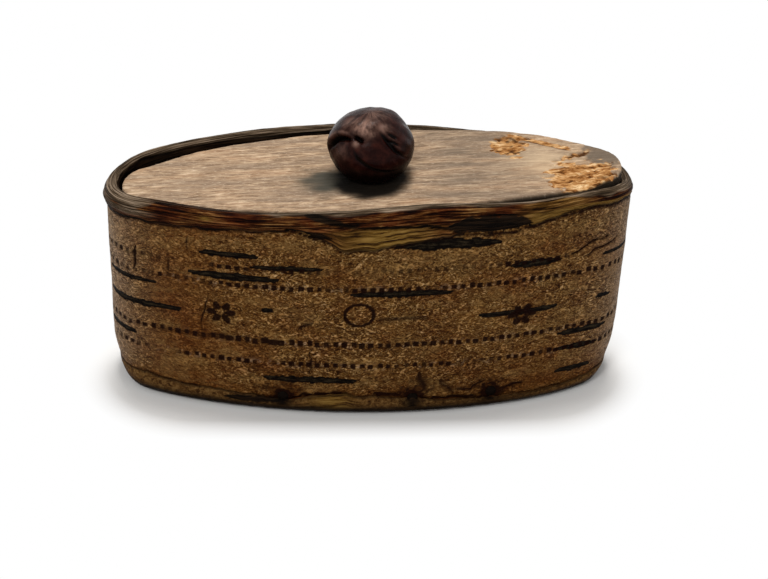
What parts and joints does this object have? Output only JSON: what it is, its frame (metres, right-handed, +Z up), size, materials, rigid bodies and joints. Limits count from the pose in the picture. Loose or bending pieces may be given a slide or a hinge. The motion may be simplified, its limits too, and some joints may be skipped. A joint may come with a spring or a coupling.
{
  "type": "snuffbox",
  "caption": "Oval birch-bark snuffbox with rolled rims and a stamped jacket, a pegged wooden bottom, and a loose wooden lid lifted by a knotted leather pull.",
  "frame": {"origin": "middle of the underside, on the surface that the box stands on", "axes": "+X along the length, to the right seen from the front; -Y the front; +Z up"},
  "size_m": [0.09, 0.032, 0.0511],
  "materials": {
    "lip_bark": "layered bark, dark and handled",
    "jacket_bark": "leathery bark, satin, with stamped dots",
    "liner_bark": "matt inner bark",
    "bottom_wood": "bare old wood",
    "peg_wood": "whittled dark wood",
    "lid_wood": "weathered bare wood",
    "pull_leather": "polished by handling"
  },
  "bodies": {
    "box": {"bark_tube": "lip_bark", "bark_jacket": "jacket_bark", "ledge_liner": "liner_bark", "bottom_board": "bottom_wood", "bottom_pegs": "peg_wood"},
    "lid": {"lid_board": "lid_wood", "leather_pull": "pull_leather", "thong_toggle": "peg_wood"}
  },
  "joints": [
    {"name": "lid_lift", "type": "slide", "parent": "box", "child": "lid", "axis": [0, 0, 1], "range_m": [0, 0.04]}
  ]
}
